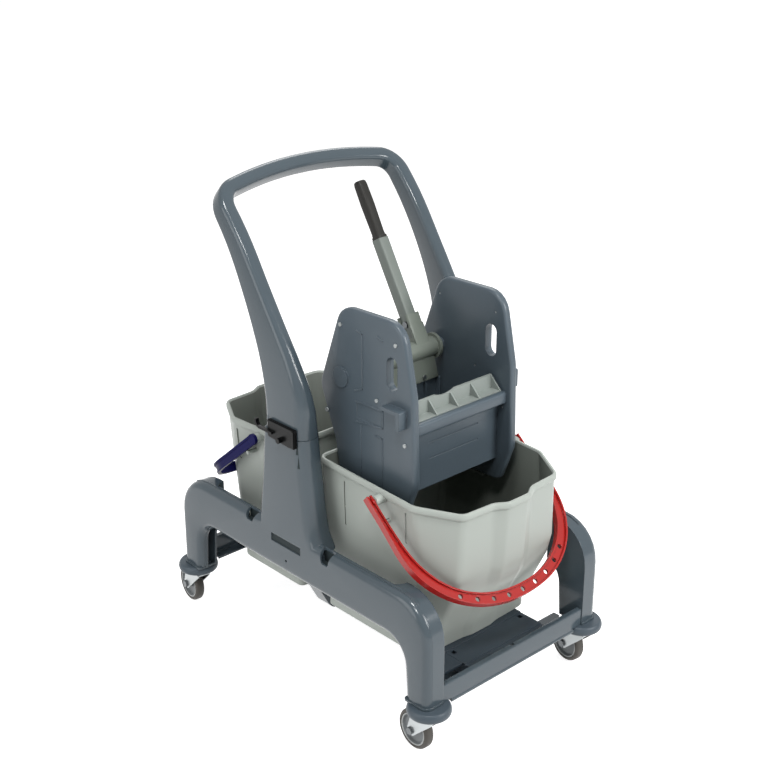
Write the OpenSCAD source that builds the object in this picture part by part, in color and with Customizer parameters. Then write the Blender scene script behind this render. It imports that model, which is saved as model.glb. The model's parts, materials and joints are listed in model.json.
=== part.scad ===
// Double mop bucket trolley: two buckets, jaw wringer and push handle on four casters.
// +X is the front, -Y the near side, +Z up. The origin is on the floor, midway between the casters.

/* [Casters] */
// Half the distance between the front and rear swivel axes
caster_x = 328; // [320:1:345]
// Diameter over the tyre
wheel_d = 74; // [68:1:80]
// Width of the tyre
wheel_w = 19; // [16:1:24]
// Thickness of the tyre
tyre_t = 7; // [5:0.5:9]
// Distance from the swivel axis back to the axle
trail = 32; // [28:1:36]
// Thickness of the fork's sheet
fork_t = 2.5; // [2:0.5:3.5]
// Diameter of the axle bolt
axle_d = 8; // [6:0.5:10]
// Diameter of the caster stem
stem_d = 12; // [10:1:14]
// Height of the stem inside the leg
stem_h = 45; // [30:1:60]
// Diameter of a round bumper
bumper_d = 80; // [74:1:90]
// Height of a round bumper
bumper_h = 17; // [14:1:22]
// Angles by which the wheels are turned at rest: front near, front far, rear near, rear far
yaw_front_near = -3; // [-20:1:20]
// Front far wheel
yaw_front_far = -8; // [-20:1:20]
// Rear near wheel
yaw_rear_near = -8; // [-20:1:20]
// Rear far wheel
yaw_rear_far = -5; // [-20:1:20]

/* [Side frames] */
// Half the width over the side frames
frame_y = 218; // [214:1:230]
// Depth of a leg across the trolley
leg_d = 40; // [36:1:46]
// Distance from the swivel axis to the leg's outer end
leg_out = 16; // [14:1:20]
// Distance from the swivel axis to the leg's edge at the arch
leg_in = 36; // [28:1:40]
// Height of the arch above the leg's foot
arch_h = 107; // [95:1:120]
// Height of the beam
beam_h = 88; // [76:1:96]
// Radius of the shoulders
shoulder_r = 76; // [50:1:80]
// Radius of the arch corners
arch_r = 45; // [30:1:55]
// Lean of the leg's edge at the arch
arch_lean = 9; // [4:1:14]
// Wall of the mouldings
wall = 4; // [3:0.5:5]
// Radius of the outer face's edges, which is the depth of the beam's flanges too
edge_r = 14; // [8:1:16]
// Length of the thick part on top of a leg
hump_l = 90; // [80:1:100]
// Number of ribs behind the beam
beam_ribs = 7; // [4:1:10]

/* [Uprights and push handle] */
// Height of the upright above the beam
upright_h = 190; // [170:1:210]
// Depth of the upright across the trolley, at its top
upright_d = 52; // [46:1:53]
// Length of the upright along the trolley, at its top
upright_l = 104; // [96:1:110]
// Radius of the upright's front edges
upright_r = 24; // [16:1:25]
// Length of the handle's spigot in the upright
spigot_h = 60; // [40:1:80]
// Clearance round the spigot
spigot_gap = 0.3; // [0.2:0.1:0.6]
// Thickness of the handle's bar
bar_t = 30; // [27:1:34]
// Height of the handle's bar across the top
bar_h = 28; // [24:1:34]
// Centre-line radius of the handle's upper corners
handle_r = 40; // [30:1:46]
// Bow of the handle's top bar at its middle
handle_bow = 26; // [14:1:32]

/* [Base] */
// Height of the bars across the ends
bar_box_h = 40; // [34:1:44]
// Thickness of the bars across the ends
bar_box_d = 11; // [8:1:14]
// Height of the base plate's top above the legs' feet
plate_z = 28; // [24:1:34]
// Half the width of the base plate
plate_y = 97; // [90:1:102]
// Length of the yoke between the buckets
yoke_l = 34; // [26:1:40]

/* [Buckets] */
// Length of the front bucket at its rim
front_bucket_l = 339; // [330:1:342]
// Length of the rear bucket at its rim
rear_bucket_l = 277; // [262:1:280]
// Distance from the origin to the inner end of the front bucket
front_in = 2; // [0:0.5:5]
// Distance from the origin to the inner end of the rear bucket
rear_in = 64; // [60:1:68]
// Half the width of a bucket at its rim
bucket_y = 160; // [150:1:161]
// Height of the rim above the base plate, at the outer end
rim_h = 294; // [270:1:310]
// How much higher the rim is at the inner end
rim_rise = 12; // [0:1:16]
// Height of the upright plinth round the bucket's foot
plinth_h = 22; // [14:1:30]
// Wall of a bucket
bucket_wall = 3.5; // [3:0.5:4.5]
// Width of the rolled lip outside the wall
lip_w = 4; // [3:0.5:5]
// Height of the rolled lip
lip_h = 11; // [8:1:14]
// Length of the foot in share of the rim's length
foot_x_scale = 0.77; // [0.74:0.01:0.84]
// Width of the foot in share of the rim's width
foot_y_scale = 0.92; // [0.86:0.01:0.94]

/* [Bails] */
// Straight length of the front bail's arms
front_arm = 105; // [98:1:112]
// Straight length of the rear bail's arms
rear_arm = 130; // [126:1:136]
// Radius of the front bail's bends on their centre line
front_bend = 132; // [120:1:140]
// Radius of the rear bail's bends on their centre line
rear_bend = 90; // [80:1:100]
// Half the width of the front bail on its centre line
front_bail_y = 180; // [178:1:182]
// Half the width of the rear bail on its centre line
rear_bail_y = 174; // [172:1:174]
// Width of the front bail's strip
front_bail_w = 25; // [20:1:28]
// Width of the rear bail's strip
rear_bail_w = 19; // [17:1:22]
// Thickness of a bail's strip at its edges
bail_t = 7; // [6:0.5:7]
// Diameter of a bail's pin
bail_pin_d = 10; // [8:0.5:12]
// Distance of the front bail's pivots from the bucket's outer end
front_ear_back = 171; // [166:1:180]
// Distance of the rear bail's pivots from the bucket's outer end
rear_ear_back = 179; // [171:1:185]
// Distance of the pivots below the rim
pivot_drop = 9; // [8:1:14]
// Angle of the front bail below level, at rest
front_bail_angle = 42; // [38:1:46]
// Angle of the rear bail below level, at rest
rear_bail_angle = 40; // [36:1:46]

/* [Wringer] */
// Half the width over the side panels
wringer_y = 126; // [122:1:130]
// Thickness of a side panel
panel_t = 16; // [14:0.5:20]
// Wall of the panel shells
panel_wall = 2.5; // [2:0.5:3]
// Height of the panels
panel_h = 357; // [350:1:370]
// Height of the wringer's feet above the bucket's floor
wringer_lift_z = 229; // [220:1:235]
// Distance of the shaft ahead of the origin
shaft_x = 32; // [29:1:36]
// Height of the shaft above the wringer's feet
shaft_h = 222; // [214:1:228]
// Diameter of the shaft
shaft_d = 12; // [10:1:16]
// Radial running clearance of shafts and pins
run_gap = 0.05; // [0.02:0.01:0.1]
// Height of the cross bar
cross_h = 22; // [18:1:28]
// Depth of the cross bar
cross_d = 24; // [18:1:28]
// Height of the front wall below the cross bar
front_h = 112; // [100:1:120]
// Thickness of the jaws
jaw_t = 5; // [4:0.5:7]
// Length of the moving jaw below the shaft
jaw_l = 150; // [130:1:155]
// Number of gussets on the fixed jaw
gussets = 5; // [3:1:7]

/* [Lever] */
// Length of the lever from the shaft to the grip's end
lever_l = 322; // [300:1:330]
// Lean of the lever from upright, at rest
lever_lean = 30; // [24:1:36]
// Offset of the lever from the middle
lever_y = 62; // [40:1:64]
// Width of the square lever tube
tube_w = 23; // [20:1:26]
// Wall of the lever tube
tube_wall = 2; // [1.5:0.5:3]
// Length of the grip
grip_l = 110; // [95:1:120]
// Width of the grip
grip_w = 21; // [19:1:23]
// Diameter of the hub
hub_d = 36; // [32:1:40]
// Diameter of the hub's end flanges
hub_flange_d = 47; // [44:1:50]

/* [Hidden] */
$fn = 64;

frame_colour = "#5f6971";
bucket_colour = "#a9aeaa";
jaw_colour = "#8c938f";
zinc_colour = "#c9ced0";

// Heights, from the floor up
wheel_gap = 2;
race_h = 7.5;
fork_z = wheel_d + wheel_gap;
bumper_z = fork_z + fork_t + race_h;
leg_z = bumper_z + bumper_h;
beam_z = leg_z + arch_h;
beam_top = beam_z + beam_h;
upright_z = beam_top + upright_h;
deck_z = leg_z + plate_z;
rim_z = deck_z + rim_h;
caster_y = frame_y - leg_d / 2 - 2;
leg_y = frame_y - leg_d;

// Places of the bails' pivots
front_pivot_x = front_in + front_bucket_l - front_ear_back;
rear_pivot_x = rear_in + rear_bucket_l - rear_ear_back;

// Small shared sizes
fit_gap = 0.3;
screw_d = 4;

// Points of the arc that rounds the corner b between a and c
function fillet(a, b, c, r, n) =
    let (
        u = (a - b) / norm(a - b),
        v = (c - b) / norm(c - b),
        half = acos(u * v) / 2,
        o = b + (u + v) / norm(u + v) * r / sin(half),
        s = b + u * r / tan(half) - o,
        e = b + v * r / tan(half) - o,
        turn = sign(cross(s, e)) * (180 - 2 * half),
        start = atan2(s.y, s.x)
    )
    [for (k = [0:n]) o + r * [cos(start + turn * k / n), sin(start + turn * k / n)]];

// Closed outline whose corners are rounded to the radii in rs
function rounded(pts, rs, n = 6) =
    let (m = len(pts))
    [for (i = [0:m - 1]) each fillet(pts[(i + m - 1) % m], pts[i], pts[(i + 1) % m], rs[i], n)];

// Anticlockwise outline moved inwards by d, or outwards where d is negative
function inset(pts, d) =
    let (m = len(pts))
    [for (i = [0:m - 1])
        let (
            e = pts[i] - pts[(i + m - 1) % m],
            f = pts[(i + 1) % m] - pts[i],
            p = [-e.y, e.x] / norm(e),
            q = [-f.y, f.x] / norm(f)
        )
        pts[i] + (p + q) * d / (1 + p * q)];

// Radii that keep the corners concentric when an outline is moved inwards by d
function inset_radii(pts, rs, d) =
    let (m = len(pts))
    [for (i = [0:m - 1])
        let (t = cross(pts[i] - pts[(i + m - 1) % m], pts[(i + 1) % m] - pts[i]))
        max(rs[i] - d * sign(t), 0.5)];

function rounded_inset(pts, rs, d, n = 6) = rounded(inset(pts, d), inset_radii(pts, rs, d), n);

function rect(x0, y0, x1, y1) = [[x0, y0], [x1, y0], [x1, y1], [x0, y1]];

// Smooth value at t along the rows of a table whose first column is t
function along(rows, t) =
    let (
        m = len(rows),
        i = max([for (k = [0:m - 2]) if (t >= rows[k][0] || k == 0) k]),
        w = (t - rows[i][0]) / (rows[i + 1][0] - rows[i][0]),
        a = rows[max(i - 1, 0)],
        b = rows[i],
        c = rows[i + 1],
        d = rows[min(i + 2, m - 1)],
        mb = (c - a) / (c[0] - a[0]),
        mc = (d - b) / (d[0] - b[0]),
        h = c[0] - b[0]
    )
    t > rows[m - 1][0] ? rows[m - 1] + (rows[m - 1] - rows[m - 2]) / h * (t - rows[m - 1][0])
    : b * (2 * w ^ 3 - 3 * w ^ 2 + 1) + mb * h * (w ^ 3 - 2 * w ^ 2 + w)
        + c * (3 * w ^ 2 - 2 * w ^ 3) + mc * h * (w ^ 3 - w ^ 2);

// Closed skin through rings of equally many points, with a fan over each end
module loft(rings) {
    m = len(rings);
    n = len(rings[0]);
    middle = function (ring) [for (a = [0:2]) [for (p = ring) p[a]] * [for (p = ring) 1] / n];
    pts = [for (ring = rings) each ring, middle(rings[0]), middle(rings[m - 1])];
    sides = [for (i = [0:m - 2], j = [0:n - 1])
        let (a = i * n + j, b = i * n + (j + 1) % n)
        each [[a, a + n, b + n], [a, b + n, b]]];
    ends = [for (j = [0:n - 1])
        let (k = (j + 1) % n)
        each [[m * n, j, k], [m * n + 1, (m - 1) * n + k, (m - 1) * n + j]]];
    polyhedron(pts, concat(sides, ends), convexity = 8);
}

// Closed skin through rings of equally many points, the last of which joins the first
module hoop(rings) {
    m = len(rings);
    n = len(rings[0]);
    faces = [for (i = [0:m - 1], j = [0:n - 1])
        let (a = i * n, b = (i + 1) % m * n, k = (j + 1) % n)
        each [[a + j, b + j, b + k], [a + j, b + k, a + k]]];
    polyhedron([for (ring = rings) each ring], faces, convexity = 8);
}

// Extrudes an outline drawn in X and Z across the trolley, from y0 to y1
module across(y0, y1) {
    translate([0, y1, 0]) rotate([90, 0, 0]) linear_extrude(y1 - y0) children();
}

// Cylinder across the trolley, from y0 to y1
module pin(x, z, r, y0, y1) {
    translate([x, y0, z]) rotate([-90, 0, 0]) cylinder(r = r, h = y1 - y0);
}

module far() {
    mirror([0, 1, 0]) children();
}

module rear() {
    mirror([1, 0, 0]) children();
}

// Side frame

leg_end = caster_x + leg_out;
leg_edge = caster_x - leg_in;
arch_edge = leg_edge - arch_lean;
below = leg_z - 2 * edge_r;
frame_pts = [
    [-leg_end, below], [-leg_edge, below], [-arch_edge, beam_z], [arch_edge, beam_z],
    [leg_edge, below], [leg_end, below], [leg_end, beam_top], [-leg_end, beam_top]
];
frame_rs = [2, 2, arch_r, arch_r, 2, 2, shoulder_r, shoulder_r];

// One ring of the near side's skin, moved inwards by d, at y
function frame_ring(d, y) = [for (p = rounded_inset(frame_pts, frame_rs, d, 7)) [p.x, y, p.y]];

// Rows of the upright: height, rear end, front end, depth across
foot_drop = 14;
foot_flare = 30;
upright_x = -20;
upright_rows = [
    [beam_top - foot_drop, upright_x - upright_l / 2 - 22, upright_x + upright_l / 2 + foot_flare + 10,
        upright_d],
    [beam_top + 12, upright_x - upright_l / 2 - 20, upright_x + upright_l / 2 + foot_flare - 5, upright_d],
    [beam_top + 84, upright_x - upright_l / 2 - 10, upright_x + upright_l / 2 + 13, upright_d],
    [upright_z, upright_x - upright_l / 2, upright_x + upright_l / 2, upright_d]
];

// Ring of the near upright at height z, moved inwards by d
function upright_ring(z, d) =
    let (
        row = along(upright_rows, z),
        pts = rect(row[1] + d, -frame_y + d, row[2] - d, -frame_y + row[3] - d),
        ends = [8, upright_r, upright_r, 8]
    )
    [for (p = rounded(pts, [for (r = ends) max(r - d, 2)], 7)) [p.x, p.y, z]];

upright_steps = 8;
seam = 1.2;
function upright_z_at(k, z0, z1) = z0 + (z1 - z0) * k / upright_steps;

module upright() {
    z0 = upright_rows[0][0];
    difference() {
        loft([for (k = [0:upright_steps]) upright_ring(upright_z_at(k, z0, upright_z - seam), 0),
            upright_ring(upright_z - seam, seam), upright_ring(upright_z, seam)]);
        loft([for (k = [0:upright_steps])
            upright_ring(upright_z_at(k, beam_top + wall, upright_z - spigot_h), wall + 1)]);
        translate([0, 0, upright_z - spigot_h - 1])
            linear_extrude(spigot_h + 2) polygon(spigot_outline(0));
    }
}

// Outline of the handle's spigot, and of its socket in the upright
spigot_wall = wall + 3;
function spigot_outline(d) =
    let (
        x = upright_l / 2 - spigot_wall - d,
        pts = rect(upright_x - x, -frame_y + spigot_wall + d, upright_x + x,
            -frame_y + upright_d - spigot_wall - d)
    )
    rounded(pts, [for (k = [0:3]) upright_r - spigot_wall - d - 4], 6);

// Skin of the near side with rounded edges, open towards the middle
module skin() {
    hoop(concat(
        [frame_ring(edge_r + 2, -frame_y + wall), frame_ring(wall + 3, -frame_y + wall + 5),
            frame_ring(wall, -frame_y + edge_r), frame_ring(0, -frame_y + edge_r)],
        [for (a = [72:-18:0]) frame_ring(edge_r * (1 - sin(a)), -frame_y + edge_r * (1 - cos(a)))],
        [frame_ring(edge_r + 2, -frame_y)]
    ));
    across(-frame_y, -frame_y + wall) polygon(rounded_inset(frame_pts, frame_rs, edge_r + 1, 7));
}

// Thick channel leg of the near side, at the front
module leg() {
    hump_x = leg_end - hump_l;
    seam = -frame_y + edge_r - 1;
    // inner wall, and the wall round the outer end and over the shoulder
    across(-leg_y - wall, -leg_y) intersection() {
        polygon(rounded(frame_pts, frame_rs, 7));
        polygon(rect(hump_x, below, leg_end + 1, beam_top + 1));
    }
    across(seam, -leg_y) intersection() {
        difference() {
            polygon(rounded(frame_pts, frame_rs, 7));
            polygon(rounded_inset(frame_pts, frame_rs, wall, 7));
        }
        union() {
            polygon(rect(caster_x - 8, below, leg_end + 1, beam_top + 1));
            polygon(rect(hump_x, beam_z + beam_h / 2, leg_end, beam_top + 1));
        }
    }
    // end of the hump, which sweeps round into the beam's flange
    translate([hump_x, -leg_y, beam_z]) intersection() {
        translate([-hump_r - 1, seam + leg_y, 0]) cube([hump_r + 3, -seam - leg_y, beam_h]);
        difference() {
            translate([-hump_r, 0, 0]) cylinder(r = hump_r + wall, h = beam_h);
            translate([-hump_r, 0, -1]) cylinder(r = hump_r, h = beam_h + 2);
        }
    }
    translate([hump_x, -leg_y, beam_top - wall]) linear_extrude(wall) difference() {
        translate([-hump_r, seam + leg_y]) square([hump_r + 1, -seam - leg_y]);
        translate([-hump_r, 0]) circle(hump_r);
    }
    // stem socket with its foot and web
    translate([caster_x, -caster_y, leg_z]) cylinder(d = stem_d + 16, h = stem_h + 8);
    across(-frame_y + wall / 2, -leg_y - wall / 2)
        polygon(rect(caster_x - 22, leg_z, leg_end - wall / 2, leg_z + wall));
    across(-caster_y - wall / 2, -caster_y + wall / 2)
        polygon(rect(caster_x, leg_z, leg_end - wall / 2, leg_z + stem_h));
    // bead round the foot
    translate([0, 0, leg_z]) linear_extrude(bead_h) difference() {
        polygon(rounded(rect(leg_edge - 2, -frame_y - 2, leg_end + 2, -leg_y), [6, edge_r, 4, 2]));
        polygon(rounded(rect(leg_edge + 3, -frame_y + 3, leg_end - 3, -leg_y - 3), [3, edge_r - 4, 3, 2]));
    }
}

// Cuts what lies below the legs' feet
module level_foot() {
    difference() {
        children();
        translate([-2 * leg_end, -2 * frame_y, below - 1])
            cube([4 * leg_end, 2 * frame_y, leg_z - below + 1]);
    }
}

bead_h = 4;
lip_out = 1.5;
lip_t = 4;
hump_r = leg_d - edge_r;
slot_l = 82;
slot_h = 16;
slot_x = -60;
notch_l = 30;
rear_notch_h = 18;
front_notch_h = 24;

module side_frame() {
    color(frame_colour) difference() {
        union() {
            level_foot() skin();
            level_foot() leg();
            level_foot() rear() leg();
            upright();
            level_foot() across(-frame_y + edge_r - 1, -frame_y + edge_r + lip_t) intersection() {
                difference() {
                    polygon(rounded_inset(frame_pts, frame_rs, -lip_out, 7));
                    polygon(rounded_inset(frame_pts, frame_rs, wall, 7));
                }
                polygon(rect(-leg_end + shoulder_r / 2, below, leg_end - shoulder_r / 2, beam_top + wall));
            }
            for (k = [0:beam_ribs - 1])
                translate([-arch_edge + 70 + k * (2 * arch_edge - 140) / (beam_ribs - 1), 0, 0])
                    across(-frame_y + wall / 2, -frame_y + edge_r)
                    polygon(rect(-wall / 2, beam_z + edge_r, wall / 2, beam_top - edge_r));
        }
        // stem bores
        for (x = [-caster_x, caster_x])
            translate([x, -caster_y, leg_z - 1]) cylinder(d = stem_d + 2 * run_gap, h = stem_h + 1);
        // recessed slot and small hole in the outer face, and notches beside the upright's foot
        across(-frame_y - 1, -frame_y + 2)
            polygon(rect(slot_x, beam_top - 33, slot_x + slot_l, beam_top - 33 + slot_h));
        pin(-19, beam_z + 28, 2.5, -frame_y - 1, -frame_y + wall + 1);
        for (n = [[upright_rows[0][1] - notch_l - 13, rear_notch_h], [upright_rows[0][2] + 1, front_notch_h]])
            across(-frame_y - 1, -frame_y + edge_r + 1)
            polygon(rounded([[n[0] + 6, beam_top - n[1]], [n[0] + notch_l - 8, beam_top - n[1]],
                [n[0] + notch_l, beam_top + 2], [n[0], beam_top + 2]], [3, 3, 1, 1], 3));
        // tenon slots for the bars across the ends
        for (s = [-1, 1]) across(-leg_y - wall - 1, -leg_y + 1)
            polygon(tenon(s, fit_gap));
        // hole for the handle's screw
        pin(upright_x, upright_z - spigot_h / 2, screw_d / 2 + fit_gap,
            -frame_y + upright_d - spigot_wall - 1,
            -frame_y + upright_d + 1);
    }
}

module side_frame_near() {
    side_frame();
}

module side_frame_far() {
    far() side_frame();
}

// Base

bar_z = leg_z - 7;
bar_front = leg_end - 2;
bar_back = bar_front - bar_box_d;
front_foot = 54;
rear_foot = 20;

// Tenon at the end of a bar, seen across the trolley
function tenon(s, d) =
    let (x0 = bar_back + 2, x1 = bar_front - 2)
    rect(min(s * (x0 - d), s * (x1 + d)), leg_z + 8 - d, max(s * (x0 - d), s * (x1 + d)),
        bar_z + bar_box_h - 4 + d);

// Bar across the front with a lower flange of length foot
module end_bar(foot) {
    color(frame_colour) {
        difference() {
            union() {
                across(-leg_y, leg_y) polygon(rounded(
                    [[bar_back - foot, bar_z], [bar_front + 2, bar_z], [bar_front + 2, bar_z + bead_h],
                        [bar_front, bar_z + bead_h + 1], [bar_front, bar_z + bar_box_h],
                            [bar_back, bar_z + bar_box_h],
                        [bar_back, bar_z + bead_h], [bar_back - foot, bar_z + bead_h]],
                    [1, 1.5, 1, 0.5, 2.5, 1, 3, 1], 4));
                for (y = [-120, -60, 60, 120]) across(y - wall / 2, y + wall / 2)
                    polygon([[bar_back + 1, bar_z + 1], [bar_back + 1, deck_z - plate_flange - 1],
                        [bar_back - foot, bar_z + 1]]);
            }
            // small notch in the middle of the top edge
            translate([bar_back - 1, -4, bar_z + bar_box_h - 5]) cube([bar_box_d / 2 + 1, 8, 6]);
            // room for the round bumpers
            for (y = [-caster_y, caster_y]) translate([caster_x, y, bar_z - 1])
                cylinder(d = bumper_d + 2, h = leg_z - bar_z + 1);
        }
        for (s = [-1, 1])
            across(min(s * (leg_y - 1), s * (leg_y + tenon_l)), max(s * (leg_y - 1), s * (leg_y + tenon_l)))
            polygon(tenon(1, 0));
    }
}

tenon_l = 3;

module front_bar() {
    end_bar(front_foot);
}

module rear_bar() {
    rear() end_bar(rear_foot);
}

plate_t = 5;
plate_flange = 28;
pad_step = 1.5;
shelf_x = front_in + front_bucket_l * foot_x_scale + 3;
shelf_end = bar_back - 16;

module base_plate() {
    color(frame_colour) difference() {
        union() {
            translate([-bar_back, -plate_y, deck_z - plate_t]) cube([2 * bar_back, 2 * plate_y, plate_t]);
            for (y = [-plate_y, plate_y - wall])
                translate([-bar_back, y, deck_z - plate_flange]) cube([2 * bar_back, wall, plate_flange]);
            for (y = [-30, 30]) translate([-bar_back, y - wall / 2, deck_z - plate_flange])
                cube([2 * bar_back, wall, plate_flange]);
            for (x = [-bar_back, -160, 160, bar_back - wall]) translate([x, -plate_y, deck_z - plate_flange])
                cube([wall, 2 * plate_y, plate_flange]);
        }
        // front shelf, a step below the pad under the bucket, with its lower edge at the bar and two slots
        translate([shelf_x, -plate_y - 1, deck_z - pad_step])
            cube([bar_back - shelf_x + 1, 2 * plate_y + 2, pad_step + 1]);
        translate([shelf_end, -plate_y - 1, deck_z - 2 * pad_step])
            cube([bar_back - shelf_end + 1, 2 * plate_y + 2, plate_t]);
        for (y = [-plate_y + 8, plate_y - 16]) translate([shelf_x + 4, y, deck_z - plate_t - 1])
            cube([10, 8, plate_t + 2]);
        // drain holes, and the gap that the yoke crosses
        for (x = [-240, -90, 90, 240], y = [-60, 60]) translate([x, y, deck_z - plate_t - 1])
            cylinder(d = 14, h = plate_t + 2);
        translate([yoke_x - fit_gap, -plate_y - 1, deck_z - plate_flange - 1])
            cube([yoke_l + 2 * fit_gap, 2 * plate_y + 2, plate_flange - plate_t + 1]);
    }
}

yoke_x = -46;
yoke_t = 6;
yoke_bottom = leg_z - 4;
yoke_y = frame_y - upright_d;

module centre_yoke() {
    outline = [[-yoke_y, beam_top + 60], [-yoke_y, yoke_bottom + 90], [-plate_y - 20, yoke_bottom],
        [plate_y + 20, yoke_bottom], [yoke_y, yoke_bottom + 90], [yoke_y, beam_top + 60],
        [yoke_y - yoke_t, beam_top + 60], [yoke_y - yoke_t, yoke_bottom + 96],
            [plate_y + 12, deck_z - plate_t],
        [-plate_y - 12, deck_z - plate_t], [-yoke_y + yoke_t, yoke_bottom + 96],
            [-yoke_y + yoke_t, beam_top + 60]];
    color(frame_colour) difference() {
        translate([yoke_x, 0, 0]) rotate([90, 0, 90]) linear_extrude(yoke_l)
            polygon(rounded(outline, [0.5, 30, 30, 30, 30, 0.5, 0.5, 26, 12, 12, 26, 0.5], 5));
        // open underside of the middle
        for (y = [-plate_y + 4, 4]) translate([yoke_x + wall, y, yoke_bottom - 1])
            cube([yoke_l - 2 * wall, plate_y - 8, deck_z - plate_t - yoke_bottom - wall + 1]);
    }
}

// Push handle

// Rows of a handle leg: distance up the leg, x, z, depth, width, edge radius, narrowing at the rear
handle_rows = [
    [0, upright_x, upright_z, upright_l, upright_d, upright_r, 0],
    [55, upright_x + 1, upright_z + 55, upright_l, 43, 20, 6],
    [111, upright_x - 12, upright_z + 110, 90, 34, 14, 11],
    [171, upright_x - 36, upright_z + 165, 71, bar_t + 1, 11, 12],
    [254, upright_x - 74, upright_z + 238, 53, bar_t, 9, 10],
    [343, upright_x - 119, upright_z + 315, 42, bar_t, 9, 4],
    [419, upright_x - 168, upright_z + 377, 35, bar_t, 9, 0],
    [453, upright_x - 195, upright_z + 403, 33, bar_t, 9, 0]
];
handle_top = 430;
handle_y = frame_y - bar_t / 2;

// Height of the bowed top bar, and where its line meets the corners
function handle_arch(y) = handle_top + handle_bow * (1 - (y / handle_y) ^ 2);
bow_end = 0.8 * handle_y;
corner_s = handle_arch(bow_end) - 1.6 * handle_bow / handle_y * (handle_y - bow_end);
corner_arc = fillet([-handle_y, 0], [-handle_y, corner_s], [-bow_end, handle_arch(bow_end)], handle_r, 9);

// Centre line of the handle in y and distance up, from the near foot to the far foot
leg_stations = 18;
leg_top = corner_arc[0].y;
bar_stations = 14;
half_line = concat(
    [for (k = [0:leg_stations - 1]) [-handle_y, leg_top * k / leg_stations]],
    corner_arc,
    [for (k = [0:bar_stations / 2 - 1]) let (y = -bow_end * (1 - 2 * k / bar_stations) + 4)
        [y, handle_arch(y)]]
);
handle_line = concat(half_line, [for (k = [len(half_line) - 1:-1:0]) [-half_line[k].x, half_line[k].y]]);

// One ring of the handle at the point p of its line, whose line runs along d
function handle_ring(p, d) =
    let (
        row = along(handle_rows, p.y),
        ahead = along(handle_rows, p.y + 2),
        lean = p.y < 1 ? [0, 1] : [ahead[1] - row[1], ahead[2] - row[2]],
        up = [lean.x, 0, lean.y] / norm(lean),
        front = [up.z, 0, -up.x],
        t = ([0, 1, 0] * d.x + up * d.y) / norm(d),
        v = cross(t, front),
        flat = abs(d.x) / norm(d),
        depth = row[3],
        width = row[4] + (bar_h - bar_t) * flat,
        r = min(row[5], depth / 2 - 1, width / 2 - 1),
        narrow = row[6] * (1 - flat),
        shift = p.y < leg_top ? -sign(p.x) * (row[4] - bar_t) / 2 : 0,
        o = [row[1], p.x + shift, row[2]],
        pts = [[-depth / 2, -width / 2], [depth / 2, -width / 2], [depth / 2, width / 2],
            [-depth / 2, width / 2 - narrow]],
        rear_r = min(r * 0.7, (width - narrow) / 2 - 1)
    )
    [for (q = rounded(pts, [rear_r, r, r, rear_r], 5)) o + front * q.x + v * q.y];

module push_handle() {
    m = len(handle_line);
    color(frame_colour) difference() {
        union() {
            loft([for (i = [0:m - 1])
                handle_ring(handle_line[i], i < 2 ? [0, 1] : i > m - 3 ? [0, -1]
                    : handle_line[i + 1] - handle_line[i - 1])]);
            for (s = [0, 1]) mirror([0, s, 0])
                translate([0, 0, upright_z - spigot_h + 2])
                linear_extrude(spigot_h) polygon(spigot_outline(spigot_gap));
        }
        for (s = [0, 1]) mirror([0, s, 0])
            pin(upright_x, upright_z - spigot_h / 2, screw_d / 2, -frame_y + upright_d - spigot_wall - 16,
                -frame_y + upright_d);
    }
}

screw_head_d = 9;
screw_head_h = 3;

module handle_screws() {
    color(zinc_colour) for (s = [0, 1]) mirror([0, s, 0]) {
        y = -frame_y + upright_d;
        pin(upright_x, upright_z - spigot_h / 2, screw_d / 2, y - spigot_wall - 15, y + 0.5);
        pin(upright_x, upright_z - spigot_h / 2, screw_head_d / 2, y, y + screw_head_h);
    }
}

// Tool clips

clip_l = 74;
clip_h = 37;
clip_t = 5;
clip_x = -53;
hook_r = 13;
hook_t = 4;
hook_reach = 22;

module tool_clip() {
    z = upright_z - 16;
    y = -frame_y - clip_t;
    color("#1d1d1e") {
        across(y, -frame_y) polygon(rounded([[clip_x, z + 4], [clip_x + clip_l - 18, z],
            [clip_x + clip_l, z + 2],
            [clip_x + clip_l, z + clip_h], [clip_x, z + clip_h]], [3, 3, 3, 3, 3], 4));
        // stiffening rim along the front and the top, and the lower peg
        across(y - 3, y + 1) polygon(rect(clip_x + clip_l - 6, z + 3, clip_x + clip_l - 1, z + clip_h - 2));
        across(y - 2, y + 1) polygon(rect(clip_x + 2, z + clip_h - 5, clip_x + clip_l - 2, z + clip_h - 1));
        pin(clip_x + 36, z + 8, 5, y - 8, y + 1);
        // hook that curls up behind the plate
        translate([clip_x + 4, 0, z + 13]) across(y - 5, y + 2) difference() {
            union() {
                translate([-hook_reach, hook_r]) circle(hook_r);
                translate([-hook_reach, 0]) square([hook_reach + 12, hook_t]);
            }
            translate([-hook_reach, hook_r]) circle(hook_r - hook_t);
            translate([-hook_reach, hook_t]) square([hook_reach + 13, 2 * hook_r]);
            translate([-hook_reach - hook_r - 1, hook_r + 3]) square([hook_r + 2, 2 * hook_r]);
        }
    }
}

module tool_clip_near() {
    tool_clip();
}

module tool_clip_far() {
    far() tool_clip();
}

// Casters

corners = [[caster_x, -caster_y], [caster_x, caster_y], [-caster_x, -caster_y], [-caster_x, caster_y]];
yaws = [yaw_front_near, yaw_front_far, yaw_rear_near, yaw_rear_far];
bumper_r = 12;

module bumpers() {
    color("#545e66") for (c = corners) translate([c.x, c.y, bumper_z]) rotate_extrude()
        polygon(rounded([[stem_d / 2 + run_gap, 0], [bumper_d / 2 - 3, 0], [bumper_d / 2, bumper_h * 0.55],
            [bumper_d / 2 - 5, bumper_h], [stem_d / 2 + run_gap, bumper_h]], [0.5, 5, bumper_r, 4, 0.5], 8));
}

race_d = 34;
head_h = 4;

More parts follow.
